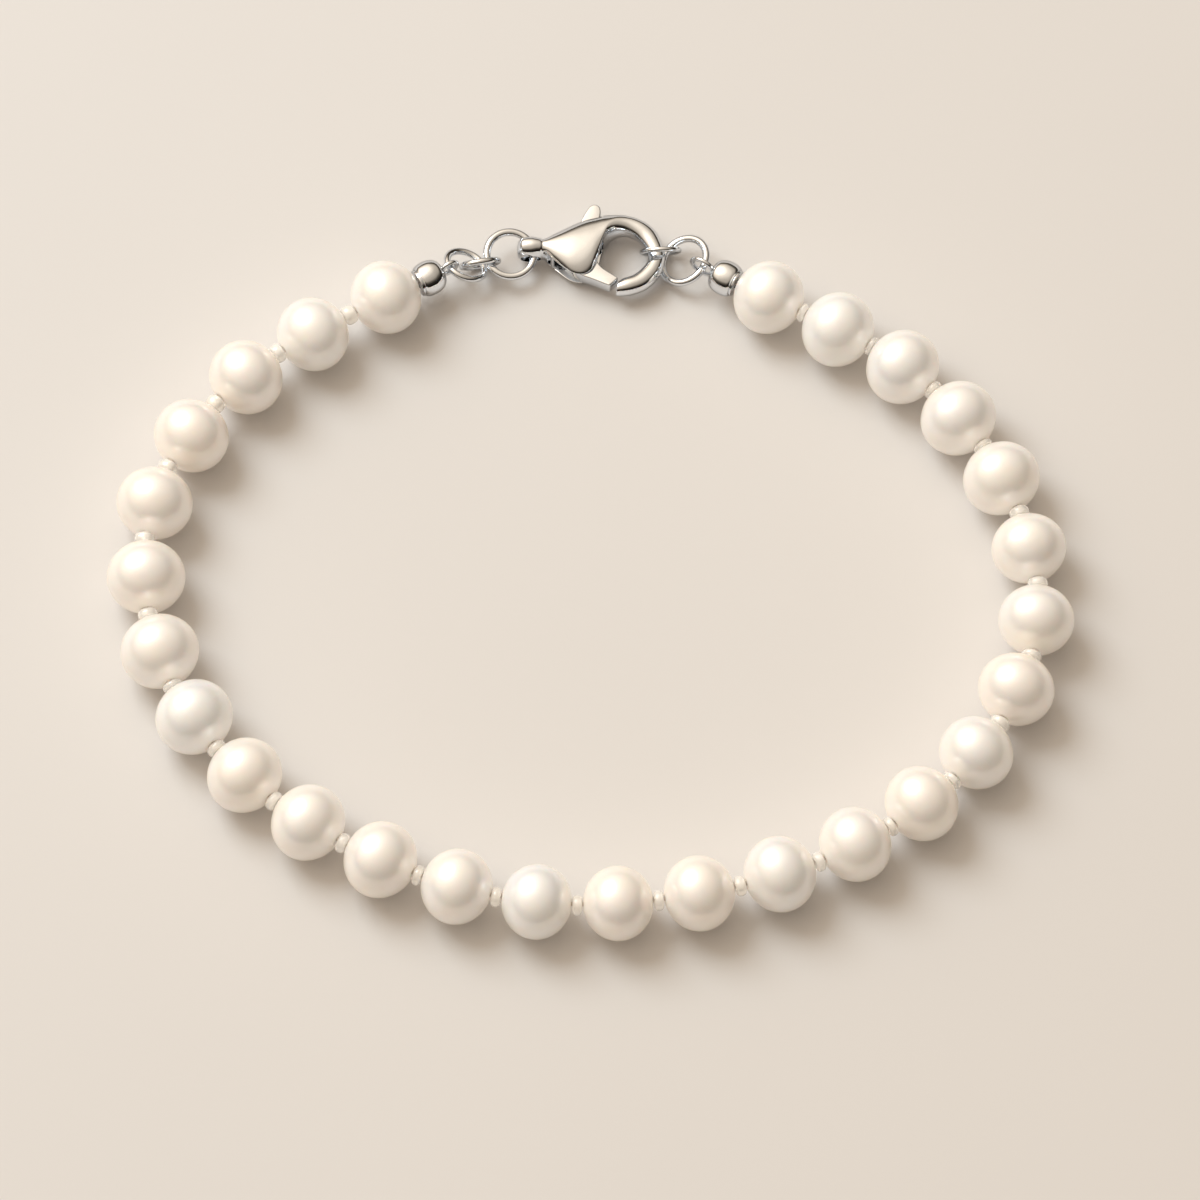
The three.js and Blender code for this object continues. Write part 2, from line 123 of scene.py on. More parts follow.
class NodeSheet:
    """A node tree that nodes are laid out on."""

    def __init__(self, tree: bpy.types.NodeTree) -> None:
        """Keeps the tree."""
        self.tree = tree

    def node(self, kind: str, settings: dict | None = None, values: dict | None = None) -> bpy.types.Node:
        """Adds a node.

        Args:
            kind: the node's type.
            settings: its settings, set first. "stops" holds a colour ramp's places and colours.
            values: numbers, colours or signals for its sockets, by name or by number.

        Returns:
            The node.
        """
        made = self.tree.nodes.new(kind)
        for name, value in (settings or {}).items():
            if name == "stops":
                self._set_stops(made.color_ramp, value)
            else:
                setattr(made, name, value)
        for name, value in (values or {}).items():
            if isinstance(value, Signal):
                self.tree.links.new(value.socket, made.inputs[name])
            else:
                made.inputs[name].default_value = value
        return made

    def signal(
        self,
        kind: str,
        settings: dict | None = None,
        values: dict | None = None,
        output: str | int = 0,
    ) -> Signal:
        """Adds a node and gives its named or numbered output as a signal."""
        return Signal(self, self.node(kind, settings, values).outputs[output])

    @staticmethod
    def _set_stops(ramp: bpy.types.ColorRamp, stops: Sequence[tuple]) -> None:
        """Gives a colour ramp its stops.

        Args:
            ramp: the ramp.
            stops: pairs of a place and a colour, from left to right.
        """
        while len(ramp.elements) < len(stops):
            ramp.elements.new(1.0)
        for element, (place, colour) in zip(ramp.elements, stops):
            element.position = place
            element.color = (*colour, 1.0)


class FinishSheet(NodeSheet):
    """The node tree of a material."""

    def __init__(self, name: str) -> None:
        """Makes an empty material.

        Args:
            name: the material's name.
        """
        self.material = bpy.data.materials.new(name)
        self.material.use_nodes = True
        self.material.node_tree.nodes.clear()
        super().__init__(self.material.node_tree)

    def place(self) -> Signal:
        """Where on the object a point is, in metres."""
        return self.signal("ShaderNodeTexCoord", output="Object")

    def noise(self, per_metre: float, detail: float = 2.0, stretch: tuple = (1.0, 1.0, 1.0)) -> Signal:
        """Adds a cloudy pattern.

        Args:
            per_metre: how many clouds go to a metre.
            detail: how much finer pattern lies in it.
            stretch: its scale along each axis.

        Returns:
            The pattern, from 0 to 1.
        """
        turned = self.signal("ShaderNodeMapping", values={"Vector": self.place(), "Scale": stretch})
        values = {"Vector": turned, "Scale": per_metre, "Detail": detail}
        return self.signal("ShaderNodeTexNoise", values=values)

    def blend(self, factor: Any, first: Any, second: Any) -> Signal:
        """Mixes two colours.

        Args:
            factor: how much of the second colour shows.
            first: a colour or a signal.
            second: a colour or a signal.

        Returns:
            The mixed colour.
        """
        named = [c if isinstance(c, Signal) else (*c, 1.0) for c in (first, second)]
        values = {0: factor, 6: named[0], 7: named[1]}
        return self.signal("ShaderNodeMix", {"data_type": "RGBA"}, values, 2)

    def narrowed(self, value: Signal, span: tuple, result: tuple = (0.0, 1.0)) -> Signal:
        """Brings a signal from one range to another, and holds it inside that."""
        values = {0: value, 1: span[0], 2: span[1], 3: result[0], 4: result[1]}
        return self.signal("ShaderNodeMapRange", values=values)

    def bump(self, height: Signal, distance: float, strength: float) -> Signal:
        """Raises the surface by a pattern, by a distance in metres, and gives the normal."""
        values = {"Height": height, "Distance": distance, "Strength": strength}
        return self.signal("ShaderNodeBump", values=values, output="Normal")

    def finished(self, values: dict) -> bpy.types.Material:
        """Closes the material with its surface.

        Args:
            values: what the Principled shader's sockets get.

        Returns:
            The material.
        """
        surface = self.signal("ShaderNodeBsdfPrincipled", values=values)
        self.node("ShaderNodeOutputMaterial", values={"Surface": surface})
        return self.material


@dataclass(frozen=True)
class Nacre:
    """The lustre of a freshwater pearl: silvery white over cream, with faint rose and green."""

    cream: tuple = (0.87, 0.81, 0.70)
    silver: tuple = (0.74, 0.775, 0.865)
    rose: tuple = (0.90, 0.755, 0.735)
    green: tuple = (0.82, 0.85, 0.80)
    # The sheen's tint, and the colour of a painted glow that stands for light passing through the pearl
    glow: tuple = (1.0, 0.87, 0.70)
    # Thin outlines showed where the roughness crossed about 0.28
    roughness: tuple = (0.29, 0.37)
    mirror: tuple = (0.14, 0.30)
    rose_share: float = 0.35
    green_share: float = 0.4
    tint_share: float = 0.6
    patch_share: float = 0.8
    clouds_per_metre: float = 330.0
    patches_per_metre: float = 520.0
    patch_stretch: tuple = (1.0, 1.2, 0.8)
    waves_per_metre: float = 560.0

    def material(self) -> bpy.types.Material:
        """The finish as a material.

        Returns:
            The material.
        """
        sheet = FinishSheet("nacre")
        tint = sheet.signal("ShaderNodeAttribute", {"attribute_name": "tint"}, output="Fac")
        clouds = sheet.noise(self.clouds_per_metre)
        patches = sheet.noise(self.patches_per_metre, 1.0, self.patch_stretch)
        spread = (patches - 0.5) * self.patch_share
        silvery = sheet.narrowed(clouds - tint * self.tint_share, (-0.4, 0.75))
        body = sheet.blend(silvery, self.cream, self.silver)
        blush = sheet.narrowed(tint + spread, (-0.5, 1.5), (0.0, self.rose_share))
        warm = sheet.blend(blush, body, self.rose)
        cool = sheet.narrowed(spread - tint, (-1.5, 0.6), (0.0, self.green_share))
        waves = sheet.noise(self.waves_per_metre, 1.0)
        return sheet.finished(
            {
                "Base Color": sheet.blend(cool, warm, self.green),
                "Metallic": sheet.narrowed(clouds, CALM, self.mirror),
                "Roughness": sheet.narrowed(patches, CALM, self.roughness),
                "Subsurface Weight": 0.4,
                "Subsurface Radius": (1.0, 0.62, 0.42),
                "Subsurface Scale": 0.0015,
                "Coat Weight": 0.7,
                "Coat Roughness": 0.12,
                "Coat IOR": 1.6,
                "Sheen Weight": 0.35,
                "Sheen Roughness": 0.4,
                "Sheen Tint": (*self.glow, 1.0),
                # A painted glow, even all over, that stands for light passing through the pearl
                "Emission Color": (*self.glow, 1.0),
                "Emission Strength": 0.15,
                "Normal": sheet.bump(waves, distance=0.00003, strength=0.1),
            }
        )


@dataclass(frozen=True)
class PolishedSteel:
    """Polished stainless steel with the soft marks that a tumbler and wear leave."""

    colour: tuple = (0.81, 0.84, 0.88)
    shade: tuple = (0.71, 0.73, 0.76)
    rim: tuple = (0.55, 0.54, 0.53)
    gloss: float = 0.045
    satin: float = 0.14
    ripple: float = 0.25
    wear_share: float = 0.6
    wear_span: tuple = (0.42, 0.72)
    clouds_per_metre: float = 420.0
    strokes_per_metre: float = 2400.0
    stroke_stretch: tuple = (1.0, 0.16, 1.0)
    grains_per_metre: float = 5200.0

    def material(self, name: str) -> bpy.types.Material:
        """The finish as a material.

        Args:
            name: the material's name.

        Returns:
            The material.
        """
        sheet = FinishSheet(name)
        strokes = sheet.noise(self.strokes_per_metre, 3.0, self.stroke_stretch)
        grains = sheet.noise(self.grains_per_metre, 2.0)
        wear = sheet.narrowed(sheet.noise(self.clouds_per_metre), self.wear_span)
        share, rest = self.wear_share, 1 - self.wear_share
        spread = self.satin - self.gloss
        return sheet.finished(
            {
                "Base Color": sheet.blend(wear * share, self.colour, self.shade),
                "Metallic": 1.0,
                "Specular Tint": (*self.rim, 1.0),
                "Roughness": wear * (spread * share) + strokes * (spread * rest) + self.gloss,
                "Normal": sheet.bump(strokes * share + grains * rest, 0.000012, self.ripple),
            }
        )


@dataclass(frozen=True)
class MilkyGlass:
    """Milky seed bead glass, partly clear, with a painted glow that stands for light passing through it."""

    colour: tuple = (0.98, 0.94, 0.89)
    warm: tuple = (0.97, 0.90, 0.82)
    # The colour of a painted glow that stands for light passing through the bead
    glow: tuple = (1.0, 0.94, 0.86)
    roughness: tuple = (0.06, 0.2)
    streaks_per_metre: float = 1500.0
    streak_span: tuple = (0.3, 0.7)

    def material(self) -> bpy.types.Material:
        """The finish as a material.

        Returns:
            The material.
        """
        sheet = FinishSheet("milky_glass")
        tint = sheet.signal("ShaderNodeAttribute", {"attribute_name": "tint"}, output="Fac")
        streaks = sheet.noise(self.streaks_per_metre, 2.0)
        return sheet.finished(
            {
                "Base Color": sheet.blend(tint * 0.6 + streaks * 0.4, self.colour, self.warm),
                "Roughness": sheet.narrowed(streaks, self.streak_span, self.roughness),
                "Transmission Weight": 0.45,
                "IOR": 1.5,
                "Subsurface Weight": 0.5,
                "Subsurface Radius": (1.0, 0.95, 0.9),
                "Subsurface Scale": 0.0005,
                "Coat Weight": 0.8,
                "Coat Roughness": 0.04,
                # A painted glow, even all over, that stands for light passing through the bead
                "Emission Color": (*self.glow, 1.0),
                "Emission Strength": 0.08,
                "Normal": sheet.bump(streaks, distance=0.00003, strength=0.3),
            }
        )


@dataclass(frozen=True)
class BeadingThread:
    """Twisted pale thread."""

    colour: tuple = (0.78, 0.72, 0.66)
    shade: tuple = (0.55, 0.48, 0.42)
    twists_per_metre: float = 9000.0

    def material(self) -> bpy.types.Material:
        """The finish as a material.

        Returns:
            The material.
        """
        sheet = FinishSheet("beading_thread")
        twist = sheet.noise(self.twists_per_metre, 1.0)
        return sheet.finished(
            {
                "Base Color": sheet.blend(twist, self.colour, self.shade),
                "Roughness": 0.7,
                "Normal": sheet.bump(twist, distance=0.00002, strength=0.5),
            }
        )


@dataclass(frozen=True)
class PaleTable:
    """A plain pale table top, very slightly uneven in tone."""

    light: tuple = (0.705, 0.68, 0.665)
    dark: tuple = (0.68, 0.655, 0.64)
    clouds_per_metre: float = 22.0
    grains_per_metre: float = 1800.0

    def material(self) -> bpy.types.Material:
        """The finish as a material.

        Returns:
            The material.
        """
        sheet = FinishSheet("pale_table")
        grains = sheet.noise(self.grains_per_metre, 2.0)
        return sheet.finished(
            {
                "Base Color": sheet.blend(sheet.noise(self.clouds_per_metre, 3.0), self.light, self.dark),
                "Roughness": 0.75,
                "Specular IOR Level": 0.25,
                "Normal": sheet.bump(grains, distance=0.00002, strength=0.2),
            }
        )


def node_points(node: str) -> np.ndarray:
    """Reads the corners of a solid.

    Args:
        node: the solid's name.

    Returns:
        The corners in metres, one row each.
    """
    mesh = frame["nodes"][node].data
    flat = np.empty(len(mesh.vertices) * 3, np.float32)
    mesh.vertices.foreach_get("co", flat)
    return flat.reshape(-1, 3).astype(float)


def smoothed(points: Sequence, steps: int, closed: bool = False) -> np.ndarray:
    """Runs an even curve through points.

    Args:
        points: rows of numbers.
        steps: how many new rows go to each gap.
        closed: whether the last point leads back to the first.

    Returns:
        The rows of the finer curve.
    """
    rows = np.asarray(points, float)
    count = len(rows)
    spans = count if closed else count - 1
    finer = []
    for span in range(spans):
        picks = [span - 1, span, span + 1, span + 2]
        if closed:
            before, start, end, after = (rows[i % count] for i in picks)
        else:
            before, start, end, after = (rows[min(max(i, 0), count - 1)] for i in picks)
        for step in range(steps):
            t = step / steps
            pull = (end - before) * t + (2 * before - 5 * start + 4 * end - after) * t**2
            finer.append(start + 0.5 * (pull + (3 * start - before - 3 * end + after) * t**3))
    if not closed:
        finer.append(rows[-1])
    return np.array(finer)


def rounded(points: Sequence, passes: int) -> np.ndarray:
    """Cuts the corners of a closed outline, again and again.

    Args:
        points: rows of numbers.
        passes: how many times the corners are cut.

    Returns:
        The rows of the rounded outline.
    """
    rows = np.asarray(points, float)
    short, long = 0.25, 0.75
    for _ in range(passes):
        following = np.roll(rows, -1, axis=0)
        near, far = rows * long + following * short, rows * short + following * long
        rows = np.stack((near, far), axis=1).reshape(-1, rows.shape[1])
    return rows


def welded(mesh: bpy.types.Mesh, reach: float) -> None:
    """Joins a mesh's points that meet, and turns its faces outward.

    Args:
        mesh: the mesh.
        reach: how near two points are that become one, in the mesh's own lengths.
    """
    shell = bmesh.new()
    shell.from_mesh(mesh)
    bmesh.ops.remove_doubles(shell, verts=shell.verts, dist=reach)
    bmesh.ops.recalc_face_normals(shell, faces=shell.faces)
    shell.to_mesh(mesh)
    shell.free()


def mesh_from(name: str, points: Iterable, faces: Iterable) -> bpy.types.Mesh:
    """Makes a closed mesh whose faces look outward.

    Args:
        name: the mesh's name.
        points: its points.
        faces: its faces, as numbers of points.

    Returns:
        The mesh.
    """
    mesh = bpy.data.meshes.new(name)
    mesh.from_pydata([tuple(p) for p in points], [], [tuple(f) for f in faces])
    welded(mesh, 1e-9)
    return mesh


def lathe(name: str, profile: Sequence, sides: int) -> bpy.types.Mesh:
    """Turns a profile round Y.

    Args:
        name: the mesh's name.
        profile: pairs of a radius and a height. It starts and ends on the axis, or closes on itself.
        sides: how many steps go round.

    Returns:
        The closed mesh.
    """
    rows = len(profile)
    points = []
    for radius, height in profile:
        for side in range(sides):
            angle = 2 * math.pi * side / sides
            points.append((radius * math.cos(angle), height, radius * math.sin(angle)))
    loops = profile[0][0] > 0
    faces = []
    for row in range(rows if loops else rows - 1):
        for side in range(sides):
            following = (side + 1) % sides
            near, far = row * sides, ((row + 1) % rows) * sides
            faces.append((near + side, near + following, far + following, far + side))
    return mesh_from(name, points, faces)


def skin(name: str, rings: np.ndarray) -> bpy.types.Mesh:
    """A closed skin over rings of points, flat at both ends.

    Args:
        name: the mesh's name.
        rings: ring by ring, the points of each.

    Returns:
        The mesh.
    """
    count, around = rings.shape[:2]
    faces = [tuple(range(around)), tuple(range((count - 1) * around, count * around))]
    for ring in range(count - 1):
        for i in range(around):
            a, b = ring * around + i, ring * around + (i + 1) % around
            faces.append((a, b, b + around, a + around))
    return mesh_from(name, rings.reshape(-1, 3), faces)


def standing(name: str, radius: float, height: float, place: Sequence, sides: int = 48) -> bpy.types.Mesh:
    """Makes an upright pin with softened rims.

    Args:
        name: the mesh's name.
        radius: the pin's radius.
        height: its height.
        place: its middle.
        sides: how many steps go round.

    Returns:
        The mesh.
    """
    rim_share = 0.12
    soft = radius * rim_share
    top = height / 2
    profile = [
        (0.0, -top),
        (radius - soft, -top),
        (radius, -top + soft),
        (radius, top - soft),
        (radius - soft, top),
        (0.0, top),
    ]
    mesh = lathe(name, profile, sides)
    mesh.transform(Matrix.Translation(Vector(place)) @ Matrix.Rotation(math.pi / 2, 4, "X"))
    return mesh


class Bench:
    """Where meshes are cut, joined and turned into finished pieces."""

    @staticmethod
    def show(name: str, data: bpy.types.ID) -> bpy.types.Object:
        """Puts a mesh, a curve, a camera or a light in the scene.

        Args:
            name: the object's name.
            data: what it shows.

        Returns:
            The object.
        """
        shown = bpy.data.objects.new(name, data)
        bpy.context.scene.collection.objects.link(shown)
        return shown

    @staticmethod
    def settled(shown: bpy.types.Object, name: str) -> bpy.types.Mesh:
        """Takes an object's final mesh and clears the object away.

        Args:
            shown: an object with modifiers.
            name: the new mesh's name.

        Returns:
            The plain mesh.
        """
        bpy.context.view_layer.update()
        graph = bpy.context.evaluated_depsgraph_get()
        mesh = bpy.data.meshes.new_from_object(shown.evaluated_get(graph), depsgraph=graph)
        mesh.name = name
        bpy.data.objects.remove(shown)
        return mesh

    @classmethod
    def combined(cls, base: bpy.types.Mesh, other: bpy.types.Mesh, way: Joining) -> bpy.types.Mesh:
        """Joins a mesh to another, or cuts it with it.

        Args:
            base: the mesh that stays.
            other: the mesh that joins or cuts it.
            way: what the other mesh does.

        Returns:
            The result.
        """
        shown = cls.show("base", base)
        tool = cls.show("tool", other)
        boolean = shown.modifiers.new("boolean", "BOOLEAN")
        boolean.operation = way.value
        boolean.solver = "EXACT"
        boolean.object = tool
        mesh = cls.settled(shown, base.name)
        bpy.data.objects.remove(tool)
        return mesh

    @staticmethod
    def together(name: str, meshes: Sequence[bpy.types.Mesh]) -> bpy.types.Mesh:
        """Puts several meshes into one, each still its own shell.

        Args:
            name: the new mesh's name.
            meshes: the meshes.

        Returns:
            The new mesh.
        """
        shell = bmesh.new()
        for mesh in meshes:
            shell.from_mesh(mesh)
        joined = bpy.data.meshes.new(name)
        shell.to_mesh(joined)
        shell.free()
        return joined

    @classmethod
    def finish(
        cls,
        name: str,
        mesh: bpy.types.Mesh,
        material: bpy.types.Material,
        slot: Slot,
        nodes: Sequence[str],
        body: Body = Body.BRACELET,
        crease: float = 40.0,
    ) -> None:
        """Dresses a mesh and ties it to the solid model.

        Args:
            name: the piece's name.
            mesh: its mesh, in place.
            material: its material.
            slot: the finish that it takes. Not used.
            nodes: the solids that it stands for.
            body: what it moves with.
            crease: the angle, in degrees, above which an edge stays crisp.
        """
        mesh.name = name
        mesh.materials.clear()
        mesh.materials.append(material)
        mesh.shade_smooth()
        mesh.set_sharp_from_angle(angle=math.radians(crease))
        shown = cls.show(name, mesh)
        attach(shown, body.value)
        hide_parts(*nodes)
        log.info("%s: %d faces on %s", name, len(mesh.polygons), body.value)


class GrowthTree(NodeSheet):
    """A Geometry Nodes tree with named inputs."""

    def __init__(self, name: str, inputs: dict[str, str]) -> None:
        """Makes the tree and its inputs.

        Args:
            name: the tree's name.
            inputs: the type of each input's socket, by name.
        """
        super().__init__(bpy.data.node_groups.new(name, "GeometryNodeTree"))
        sockets = self.tree.interface
        sockets.new_socket("Geometry", in_out="INPUT", socket_type="NodeSocketGeometry")
        sockets.new_socket("Geometry", in_out="OUTPUT", socket_type="NodeSocketGeometry")
        for label, kind in inputs.items():
            sockets.new_socket(label, in_out="INPUT", socket_type=kind)
        self.start = self.node("NodeGroupInput")

    def given(self, label: str) -> Signal:
        """An input of the tree."""
        return Signal(self, self.start.outputs[label])

    def close(self, shape: Signal) -> None:
        """Ends the tree: plain geometry, shaded smooth, in its material.

        Args:
            shape: the geometry that the tree has made.
        """
        plain = self.signal("GeometryNodeRealizeInstances", values={"Geometry": shape})
        smooth = self.signal("GeometryNodeSetShadeSmooth", values={"Geometry": plain})
        values = {"Geometry": smooth, "Material": self.given("Finish")}
        dressed = self.signal("GeometryNodeSetMaterial", values=values)
        self.node("NodeGroupOutput", values={"Geometry": dressed})

    def grow(self, name: str, base: bpy.types.Mesh, settings: dict) -> bpy.types.Mesh:
        """Runs the tree on a mesh.

        Args:
            name: the new mesh's name.
            base: the mesh that the tree starts from.
            settings: a value for each named input.

        Returns:
            The plain mesh.
        """
        shown = Bench.show(name, base)
        modifier = shown.modifiers.new(self.tree.name, "NODES")
        modifier.node_group = self.tree
        for item in self.tree.interface.items_tree:
            if item.item_type == "SOCKET" and item.in_out == "INPUT" and item.name in settings:
                modifier[item.identifier] = settings[item.name]
        return Bench.settled(shown, name)


class BeadTree(GrowthTree):
    """Sets one bead on each point, turned along its way and scaled to its size."""

    def __init__(self) -> None:
        """Lays out the tree."""
        inputs = {
            "Bead": "NodeSocketObject",
            "Unevenness": "NodeSocketFloat",
            "Waves per Metre": "NodeSocketFloat",
            "Seed": "NodeSocketInt",
            "Finish": "NodeSocketMaterial",
        }
        super().__init__("beads_on_points", inputs)
        vector = {"data_type": "FLOAT_VECTOR"}
        way = self.signal("GeometryNodeInputNamedAttribute", vector, {"Name": "way"})
        size = self.signal("GeometryNodeInputNamedAttribute", vector, {"Name": "size"})
        turn = self.signal("FunctionNodeAlignRotationToVector", {"axis": "Y"}, {"Vector": way})
        values = {"Object": self.given("Bead")}
        bead = self.signal("GeometryNodeObjectInfo", values=values, output="Geometry")
        values = {"Points": self.given("Geometry"), "Instance": bead, "Rotation": turn, "Scale": size}
        beads = self.signal("GeometryNodeInstanceOnPoints", values=values)
        tint = self.signal("FunctionNodeRandomValue", values={"Seed": self.given("Seed")}, output=1)
        settings = {"data_type": "FLOAT", "domain": "INSTANCE"}
        values = {"Geometry": beads, "Name": "tint", "Value": tint}
        tinted = self.signal("GeometryNodeStoreNamedAttribute", settings, values)
        plain = self.signal("GeometryNodeRealizeInstances", values={"Geometry": tinted})
        values = {"Scale": self.given("Waves per Metre"), "Detail": 1.0}
        waves = self.signal("ShaderNodeTexNoise", values=values)
        depth = (waves - 1.0) * self.given("Unevenness")
        outward = self.signal("GeometryNodeInputNormal")
        inward = self.signal("ShaderNodeVectorMath", {"operation": "SCALE"}, {0: outward, "Scale": depth})
        self.close(self.signal("GeometryNodeSetPosition", values={"Geometry": plain, "Offset": inward}))


class RingTree(GrowthTree):
    """Bends a wire into a ring round Z, with the fine cut that a jump ring has."""

    ROUND_STEPS = 112
    WIRE_SIDES = 28

    def __init__(self) -> None:
        """Lays out the tree."""
        inputs = {
            "Radius": "NodeSocketFloat",
            "Wire": "NodeSocketFloat",
            "Cut Share": "NodeSocketFloat",
            "Finish": "NodeSocketMaterial",
        }
        super().__init__("wire_ring", inputs)
        values = {"Resolution": self.ROUND_STEPS, "Radius": self.given("Radius")}
        circle = self.signal("GeometryNodeCurvePrimitiveCircle", values=values)
        values = {0: circle, 2: self.given("Cut Share"), 3: 1.0 - self.given("Cut Share")}
        bent = self.signal("GeometryNodeTrimCurve", {"mode": "FACTOR"}, values)
        values = {"Resolution": self.WIRE_SIDES, "Radius": self.given("Wire") * 0.5}
        wire = self.signal("GeometryNodeCurvePrimitiveCircle", values=values)
        values = {"Curve": bent, "Profile Curve": wire, "Fill Caps": True}
        self.close(self.signal("GeometryNodeCurveToMesh", values=values))

    def ring(
        self, name: str, radius: float, wire: float, cut_share: float, finish: bpy.types.Material
    ) -> bpy.types.Mesh:
        """Makes one ring, by its radius to the middle of its wire and the wire's thickness."""
        settings = {"Radius": radius, "Wire": wire, "Cut Share": cut_share, "Finish": finish}
        return self.grow(name, bpy.data.meshes.new(name), settings)


class ThreadTree(GrowthTree):
    """Lays a round thread along a line of points."""

    SIDES = 10

    def __init__(self) -> None:
        """Lays out the tree."""
        super().__init__("thread_on_line", {"Thickness": "NodeSocketFloat", "Finish": "NodeSocketMaterial"})
        line = self.signal("GeometryNodeMeshToCurve", values={"Mesh": self.given("Geometry")})
        values = {"Resolution": self.SIDES, "Radius": self.given("Thickness") * 0.5}
        round_wire = self.signal("GeometryNodeCurvePrimitiveCircle", values=values)
        values = {"Curve": line, "Profile Curve": round_wire, "Fill Caps": True}
        self.close(self.signal("GeometryNodeCurveToMesh", values=values))


@dataclass
class PearlString:
    """The drilled pearls, the seed beads between them and the thread through all."""

    pearl_count: int = 27
    roundness: float = 0.92
    pearl_diameter: float = 5.5
    pearl_bore: float = 0.9
    bore_share: float = 0.72
    pearl_sides: int = 52
    pearl_rows: int = 30
    pearl_unevenness: float = 0.05
    pearl_waves_per_metre: float = 330.0
    seed_diameter: float = 1.5
    seed_bore: float = 0.5
    seed_sides: int = 36
    seed_unevenness: float = 0.04
    seed_waves_per_metre: float = 900.0
    thread: float = 0.3
    thread_steps: int = 8
    clearance: float = 0.02
    tint_seed: int = 11

    # A pearl's hole from end to end: its width against its waist's, and its height in pearl lengths
    BORE = ((1.15, 0.494), (1.0, 0.46), (1.0, -0.46), (1.15, -0.494))
    # A seed bead's barrel: its radius and its height, as shares of the bead's size
    BARREL = ((0.36, -0.46), (0.46, -0.32), (0.5, 0.0), (0.46, 0.32), (0.36, 0.46))

    def __post_init__(self) -> None:
        """Reads the pearls' places, sizes and ways from the solids."""
        self.names = [f"pearl_{number:02d}" for number in range(1, self.pearl_count + 1)]
        self.middles, self.diameters = [], []
        for name in self.names:
            low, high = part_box(name)
            self.diameters.append(high.z - low.z)
            self.middles.append((low + high) / 2)
        first, last = EndBead.left().middle(), EndBead.right().middle()
        stops = [first, *self.middles, last]
        self.ways = []
        for before, after in zip(stops, stops[2:]):
            way = after - before
            self.ways.append(Vector((way.x, way.y, 0.0)).normalized())
        self.ends = (first, last)

    def pearl(self) -> bpy.types.Mesh:
        """Makes one drilled pearl along Y, a unit across and a unit long.

        Returns:
            The mesh.
        """
        bore = self.pearl_bore / 2 / self.pearl_diameter
        mouth = math.acos(2 * bore)
        profile = []
        for row in range(self.pearl_rows + 1):
            angle = mouth * (2 * row / self.pearl_rows - 1)
            profile.append((math.cos(angle) / 2, math.sin(angle) / math.sin(mouth) / 2))
        profile += [(bore * self.bore_share * width, height) for width, height in self.BORE]
        return lathe("pearl", profile, self.pearl_sides)

    def seed(self) -> bpy.types.Mesh:
        """Makes one seed bead along Y, a unit across and a unit long, with its hole.

        Returns:
            The mesh.
        """
        hole = self.seed_bore / self.seed_diameter / 2
        face, end, throat = 0.25, 0.5, 0.4
        profile = [(face, -end), *map(tuple, smoothed(self.BARREL, 4)), (face, end)]
        profile += [(hole, throat), (hole, -throat)]
        return lathe("seed", profile, self.seed_sides)

    def points(self, name: str, middles: Sequence, ways: Sequence, sizes: Sequence) -> bpy.types.Mesh:
        """The points that beads are set on.

        Args:
            name: the mesh's name.
            middles: each bead's middle.
            ways: the direction of each bead's hole.
            sizes: each bead's size across, along and up.

        Returns:
            A mesh of loose points that carry their beads' ways and sizes.
        """
        mesh = bpy.data.meshes.new(name)
        mesh.from_pydata([tuple(p) for p in middles], [], [])
        for label, rows in (("way", ways), ("size", sizes)):
            attribute = mesh.attributes.new(label, "FLOAT_VECTOR", "POINT")
            attribute.data.foreach_set("vector", np.array([tuple(r) for r in rows], np.float32).ravel())
        return mesh

    def seeds(self) -> tuple[list, list, list]:
        """Where the seed beads sit.

        Returns:
            Their middles, their ways and their sizes.
        """
        middles, ways, sizes = [], [], []
        for i in range(self.pearl_count - 1):
            start = self.middles[i] + self.ways[i] * (self.diameters[i] * self.roundness / 2)
            end = self.middles[i + 1] - self.ways[i + 1] * (self.diameters[i + 1] * self.roundness / 2)
            across = self.seed_diameter * MM
            length = (end - start).length - 2 * self.clearance * MM
            middles.append((start + end) / 2)
            ways.append((self.ways[i] + self.ways[i + 1]).normalized())
            sizes.append((across, length, across))
        return middles, ways, sizes

    def build(self) -> None:
        """Builds and dresses the string."""
        tree = BeadTree()
        pearl = Bench.show("pearl_pattern", self.pearl())
        sizes = [(d, d * self.roundness, d) for d in self.diameters]
        settings = {
            "Bead": pearl,
            "Unevenness": self.pearl_unevenness * MM,
            "Waves per Metre": self.pearl_waves_per_metre,
            "Seed": self.tint_seed,
            "Finish": Nacre().material(),
        }
        mesh = tree.grow("pearls", self.points("pearls", self.middles, self.ways, sizes), settings)
        Bench.finish("pearls", mesh, settings["Finish"], Slot.PEARL, self.names, crease=60.0)
        bpy.data.objects.remove(pearl)

        seed = Bench.show("seed_pattern", self.seed())
        settings = {
            "Bead": seed,
            "Unevenness": self.seed_unevenness * MM,
            "Waves per Metre": self.seed_waves_per_metre,
            "Seed": self.tint_seed + 1,
            "Finish": MilkyGlass().material(),
        }
        string_node = ["thread_and_seed_beads"]
        mesh = tree.grow("seed_beads", self.points("seed_beads", *self.seeds()), settings)
        Bench.finish("seed_beads", mesh, settings["Finish"], Slot.SEED_BEAD, string_node)
        bpy.data.objects.remove(seed)

        stops = [tuple(p) for p in [self.ends[0], *self.middles, self.ends[1]]]
        fine = smoothed(stops, self.thread_steps)
        line = bpy.data.meshes.new("thread")
        line.from_pydata([tuple(p) for p in fine], [(i, i + 1) for i in range(len(fine) - 1)], [])
        settings = {"Thickness": self.thread * MM, "Finish": BeadingThread().material()}
        mesh = ThreadTree().grow("thread", line, settings)
        Bench.finish("thread", mesh, settings["Finish"], Slot.SEED_BEAD, string_node)


